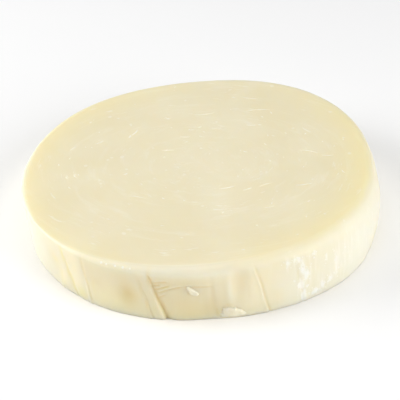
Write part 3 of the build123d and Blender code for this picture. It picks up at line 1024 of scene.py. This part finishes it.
class PUCK_OT_rim_crumbs(bpy.types.Operator):
    """Build the row of small crumbs along the rim"""

    bl_idname = "puck.rim_crumbs"
    bl_label = "Rim Crumbs"

    def execute(self, context):
        sizes = context.scene.puck_sizes
        crumbs = []
        for index, (azimuth, radius) in enumerate(RIM_CRUMBS):
            at = np.array([azimuth])
            rounding = rim_radius(sizes, at)[0]
            seat = wall_point(sizes, at, sizes.thickness, rounding * (1.0 - cos(RIM_CRUMB_TURN)))[0]
            seat[2] = top_height(sizes, seat[0]) - rounding * (1.0 - sin(RIM_CRUMB_TURN))
            normal = outward(sizes, at)[0] * cos(RIM_CRUMB_TURN) + np.array([0.0, 0.0, sin(RIM_CRUMB_TURN)])
            seat = seat - normal * CRUMB_SINK * radius * MM
            seed = 3.0 + 11.0 * index
            crumbs.append(add_crumb(seat + plan_shift(sizes), normal, radius * MM, seed))
        piece = join(crumbs, "crumbs_on_rim")
        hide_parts("rim_crumbs")
        finish_crumbs(context, piece)
        return {"FINISHED"}


# ---- Burrs that the cut left on the top face ----
# x and y of the middle in mm from the middle of the top, length and width in mm, azimuth, bend in mm
BURRS = (
    (-13.4, 12.2, 2.6, 0.26, 62.0, 0.25), (-14.4, 10.6, 1.1, 0.34, 70.0, 0.05),
    (-20.6, 8.6, 2.2, 0.16, 35.0, 0.2), (-25.8, 6.6, 2.0, 0.14, 50.0, -0.2),
    (-19.0, 18.6, 1.0, 0.16, 10.0, 0.0), (-17.2, 18.0, 0.6, 0.20, 0.0, 0.0),
    (-6.6, 17.2, 0.9, 0.26, -10.0, 0.1), (1.0, 18.6, 4.6, 0.12, 8.0, 0.3),
    (12.4, 19.6, 5.2, 0.14, 4.0, -0.4), (11.0, 24.6, 3.4, 0.12, -14.0, 0.2),
    (15.2, 18.4, 1.0, 0.24, -75.0, 0.1), (13.2, 16.8, 0.8, 0.22, -60.0, 0.0),
    (10.8, 13.6, 2.2, 0.16, -4.0, 0.1), (22.0, 3.2, 3.8, 0.15, -18.0, -0.4),
    (25.6, 1.6, 2.4, 0.12, -4.0, 0.2), (28.2, -4.2, 1.2, 0.18, -62.0, 0.2),
    (-14.6, -3.2, 1.0, 0.30, 30.0, 0.1), (-24.6, -3.4, 1.6, 0.16, -70.0, 0.3),
    (-26.2, -4.0, 1.0, 0.14, -60.0, 0.1), (9.2, 3.6, 1.0, 0.20, -30.0, 0.1),
    (5.4, -8.8, 3.2, 0.20, 14.0, 0.2), (9.6, -9.4, 1.2, 0.26, 24.0, 0.0),
    (12.8, -8.2, 2.8, 0.12, 24.0, -0.2), (20.2, -8.4, 3.4, 0.16, 10.0, 0.2),
    (13.2, -15.6, 2.0, 0.14, 16.0, 0.1), (-12.0, -11.2, 3.6, 0.12, -14.0, -0.2),
    (-6.4, 5.0, 2.6, 0.14, -2.0, 0.1), (-3.0, 9.8, 2.2, 0.12, -4.0, 0.1),
    (21.8, 9.8, 0.7, 0.20, 60.0, 0.0), (19.4, 12.0, 0.6, 0.18, 20.0, 0.0),
)
FLECKS, FLECK_SEED, FLECK_REACH = 70, 11, 0.88  # tiny burrs strewn over this share of the face
FLECK_LENGTH, FLECK_WIDTH = (0.25, 0.9), (0.10, 0.20)  # mm
FLECK_STRAY = 40.0  # degrees that a fleck's run strays from the way the cut went
BURR_HEIGHT = 0.06 * MM
BURR_TAPER, BURR_CROWN = 0.60, 0.8  # how much narrower its ends are, and how much lower its edge
BURR_RAGS = ((0.25, 7.0), (0.20, 13.0))  # how much its width varies, and how often
BURR_CELLS, FLECK_CELLS, BURR_ROWS = 12, 4, 2


def add_burr(sizes, x, y, length, width, azimuth, bend, cells=BURR_CELLS):
    """One thin, ragged burr that stands a little out of the top face."""
    piece = slab("burr", 1.0, 1.0, cells, BURR_ROWS)
    points = points_of(piece)
    out, turn = round_off(points, 1.0)
    level = points[:, 2]
    along = out * np.cos(np.radians(turn))
    taper = 1.0 - BURR_TAPER * along ** 2
    for (size, rate), phase in zip(BURR_RAGS, (x, y)):
        taper = taper + size * np.sin(rate * along + phase)
    aside = out * np.sin(np.radians(turn)) * taper * width / 2.0 + bend * (along ** 2 - 0.5)
    run = along * length / 2.0
    u = (x + run * cos(radians(azimuth)) - aside * sin(radians(azimuth))) * MM
    v = (y + run * sin(radians(azimuth)) + aside * cos(radians(azimuth))) * MM
    stand = BURR_HEIGHT * (2.0 * level - 1.0) * (1.0 - BURR_CROWN * out ** 2)
    w = top_height(sizes, u) + top_relief(u, v) + stand
    move_points(piece, np.stack([u, v, w], axis=-1) + plan_shift(sizes))
    return piece


def strew_flecks(sizes):
    """Tiny burrs at random places, which run round the face as the cut did."""
    dice = random.Random(FLECK_SEED)
    flecks = []
    for _ in range(FLECKS):
        turn = dice.uniform(0.0, 360.0)
        reach = sqrt(dice.random()) * FLECK_REACH * sizes.radius / MM
        x, y = reach * cos(radians(turn)), reach * sin(radians(turn))
        run = turn + 90.0 + dice.uniform(-FLECK_STRAY, FLECK_STRAY)
        size = dice.uniform(*FLECK_LENGTH), dice.uniform(*FLECK_WIDTH)
        flecks.append(add_burr(sizes, x, y, *size, run, 0.0, FLECK_CELLS))
    return flecks


class PUCK_OT_burrs(bpy.types.Operator):
    """Build the pale burrs that the cut left on the top face"""

    bl_idname = "puck.burrs"
    bl_label = "Cut Burrs"

    def execute(self, context):
        sizes = context.scene.puck_sizes
        burrs = [add_burr(sizes, *burr) for burr in BURRS]
        finish_crumbs(context, join(burrs + strew_flecks(sizes), "cut_burrs"))
        return {"FINISHED"}


# ---- The stage ----
# name: azimuth and elevation in degrees, distance and width in metres, power in watts
LIGHTS = {
    "left_softbox": (180.0, 25.0, 0.50, 0.36, 2.05),
    "right_softbox": (-30.0, 25.0, 0.50, 0.36, 1.68),
    "top_softbox": (90.0, 85.0, 0.60, 0.50, 1.54),
}
AIR_LIGHT = 0.14  # strength of the even light from all round
FLOOR_WIDTH, FLOOR_DROP = 6.0, 0.02 * MM  # the floor lies just below the cake's flat underside
LOOK_AT = (0.1, 3.74, 0.0)  # in mm from the middle of the top, on the floor


class PUCK_OT_stage(bpy.types.Operator):
    """Build the floor, the lights and the camera"""

    bl_idname = "puck.stage"
    bl_label = "Stage"

    def execute(self, context):
        stage = context.scene.puck_stage
        target = Vector(plan_shift(context.scene.puck_sizes)) + Vector(LOOK_AT) * MM
        deselect()
        bpy.ops.mesh.primitive_plane_add(size=FLOOR_WIDTH, location=(0.0, 0.0, -FLOOR_DROP))
        floor = context.object
        floor.name = floor.data.name = "floor"
        bpy.ops.object.transform_apply(location=True, rotation=True, scale=True)
        floor.data.materials.append(paper_material("studio_paper", stage.floor))
        for name, (azimuth, elevation, distance, width, power) in LIGHTS.items():
            self.add_light(context, name, direction(azimuth, elevation) * distance, width, power)
        self.add_camera(context, stage, target)
        self.set_world(context)
        return {"FINISHED"}

    def add_light(self, context, name, place, width, power):
        """One square softbox that faces the puck."""
        bpy.ops.object.light_add(type="AREA", location=place)
        light = context.object
        light.name = light.data.name = name
        light.data.size = width
        light.data.energy = power
        light.rotation_euler = (-place).to_track_quat("-Z", "Y").to_euler()

    def add_camera(self, context, stage, target):
        """The camera, in front of the puck and above it."""
        away = Vector((0.0, -cos(stage.elevation), sin(stage.elevation)))
        bpy.ops.object.camera_add(location=target + away * stage.distance)
        camera = context.object
        camera.name = camera.data.name = "camera"
        camera.rotation_euler = (pi / 2.0 - stage.elevation, 0.0, 0.0)
        camera.data.lens = stage.lens
        camera.data.sensor_width = 36.0
        camera.data.clip_start = 0.01
        context.scene.camera = camera

    def set_world(self, context):
        """Even white light from all round."""
        world = bpy.data.worlds.new("studio_air")
        world.use_nodes = True
        background = world.node_tree.nodes["Background"]
        background.inputs["Color"].default_value = colour((1.0, 1.0, 1.0))
        background.inputs["Strength"].default_value = AIR_LIGHT
        context.scene.world = world
        context.scene.view_settings.view_transform = "Standard"


def direction(azimuth, elevation):
    """A unit vector towards an azimuth and elevation in degrees."""
    flat = cos(radians(elevation))
    return Vector((flat * cos(radians(azimuth)), flat * sin(radians(azimuth)), sin(radians(elevation))))


class PUCK_PT_panel(bpy.types.Panel):
    """Lists the sizes and colours that can be changed, and a button for each piece and the stage"""

    bl_idname = "PUCK_PT_panel"
    bl_label = "Soap Puck"
    bl_space_type = "VIEW_3D"
    bl_region_type = "UI"
    bl_category = "Soap Puck"

    def draw(self, context):
        layout = self.layout
        for group in (context.scene.puck_sizes, context.scene.puck_colours, context.scene.puck_stage):
            column = layout.column(align=True)
            for name in group.__annotations__:
                column.prop(group, name)
        column = layout.column()
        for operator in OPERATORS:
            column.operator(operator.bl_idname)


OPERATORS = (
    PUCK_OT_stage,
    PUCK_OT_cake,
    PUCK_OT_chip,
    PUCK_OT_flake,
    PUCK_OT_wall_crumbs,
    PUCK_OT_rim_crumbs,
    PUCK_OT_burrs,
)
GROUPS = {"puck_sizes": PuckSizes, "puck_colours": PuckColours, "puck_stage": PuckStage}


def register():
    for cls in (*GROUPS.values(), *OPERATORS, PUCK_PT_panel):
        bpy.utils.register_class(cls)
    for name, group in GROUPS.items():
        setattr(bpy.types.Scene, name, bpy.props.PointerProperty(type=group))


def unregister():
    for name in GROUPS:
        delattr(bpy.types.Scene, name)
    for cls in (PUCK_PT_panel, *reversed(OPERATORS), *GROUPS.values()):
        bpy.utils.unregister_class(cls)


def main():
    register()
    bpy.ops.puck.stage()
    bpy.ops.puck.cake()
    bpy.ops.puck.chip()
    bpy.ops.puck.flake()
    bpy.ops.puck.wall_crumbs()
    bpy.ops.puck.rim_crumbs()
    bpy.ops.puck.burrs()


if __name__ == "__main__":
    main()
